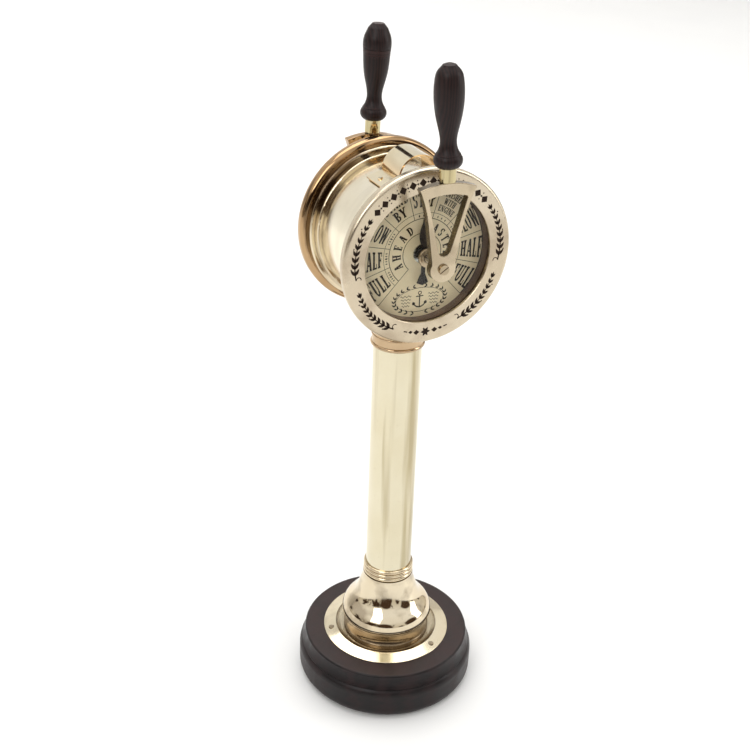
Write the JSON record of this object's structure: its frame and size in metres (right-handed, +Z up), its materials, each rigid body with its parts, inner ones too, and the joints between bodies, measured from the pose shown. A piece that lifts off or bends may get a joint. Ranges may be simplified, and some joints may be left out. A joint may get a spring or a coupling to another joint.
{
  "type": "engine order telegraph",
  "caption": "Double-faced ship's engine order telegraph: brass drum with two dials and turning levers on a column, bell foot and turned wood base.",
  "frame": {"origin": "centre of the underside of the base, on the floor", "axes": "+Z up along the column; the drum's axis lies along Y; the front dial faces -Y"},
  "size_m": [0.252, 0.252, 0.9134],
  "materials": {
    "brass": "polished and lacquered",
    "lever_brass": "polished",
    "gong_brass": "turned, unpolished",
    "base_wood": "dark stain under varnish",
    "grip_wood": "dark stain under varnish",
    "dial_enamel": "cream enamel with printed order words",
    "pointer_black": "black paint",
    "liner_brown": "dark brown paint",
    "steel": "bright machined",
    "bracket_iron": "as cast",
    "glass": "clear",
    "felt": "green felt"
  },
  "bodies": {
    "stand_and_head": {"wood_base": "base_wood", "felt_pad": "felt", "tie_rod": "steel", "tie_washer": "steel", "tie_nut": "steel", "foot_flange": "brass", "flange_screws": "brass", "bell_foot": "brass", "lower_collar": "brass", "column_tube": "brass", "upper_collar": "brass", "saddle": "brass", "drum_shell": "brass", "top_hood": "brass", "hood_screws": "brass", "bearing_bracket": "bracket_iron", "gong_nuts": "steel", "hammer_pins": "steel", "click_posts": "steel", "front_step_ring": "brass", "front_bezel": "brass", "front_glass": "glass", "front_glass_bush": "lever_brass", "front_spacer_ring": "liner_brown", "front_dial": "dial_enamel", "front_dial_bush": "steel", "front_gong": "gong_brass", "front_click_spring": "steel", "front_hammer_spring": "steel", "rear_step_ring": "brass", "rear_bezel": "brass", "rear_glass": "glass", "rear_glass_bush": "lever_brass", "rear_spacer_ring": "liner_brown", "rear_dial": "dial_enamel", "rear_dial_bush": "steel", "rear_gong": "gong_brass", "rear_click_spring": "steel", "rear_hammer_spring": "steel"},
    "front_lever": {"front_spindle": "steel", "front_pointer": "pointer_black", "front_star_wheel": "gong_brass", "front_lever_frame": "lever_brass", "front_hub_screw": "lever_brass", "front_ferrule": "lever_brass", "front_grip_rod": "steel", "front_grip": "grip_wood"},
    "front_hammer": {"front_hammer": "gong_brass"},
    "rear_lever": {"rear_spindle": "steel", "rear_pointer": "pointer_black", "rear_star_wheel": "gong_brass", "rear_lever_frame": "lever_brass", "rear_hub_screw": "lever_brass", "rear_ferrule": "lever_brass", "rear_grip_rod": "steel", "rear_grip": "grip_wood"},
    "rear_hammer": {"rear_hammer": "gong_brass"}
  },
  "joints": [
    {"name": "front_lever_turn", "type": "hinge", "parent": "stand_and_head", "child": "front_lever", "pos_m": [0, 0, 0.673], "axis": [0, 1, 0], "range_deg": [-122, 122]},
    {"name": "rear_lever_turn", "type": "hinge", "parent": "stand_and_head", "child": "rear_lever", "pos_m": [0, 0, 0.673], "axis": [0, -1, 0], "range_deg": [-122, 122]},
    {"name": "front_hammer_swing", "type": "hinge", "parent": "stand_and_head", "child": "front_hammer", "pos_m": [0.06, -0.035, 0.655], "axis": [0, 1, 0], "range_deg": [-2.5, 12], "stiffness_Nm_per_rad": 1.5},
    {"name": "rear_hammer_swing", "type": "hinge", "parent": "stand_and_head", "child": "rear_hammer", "pos_m": [-0.06, 0.035, 0.655], "axis": [0, -1, 0], "range_deg": [-2.5, 12], "stiffness_Nm_per_rad": 1.5}
  ]
}
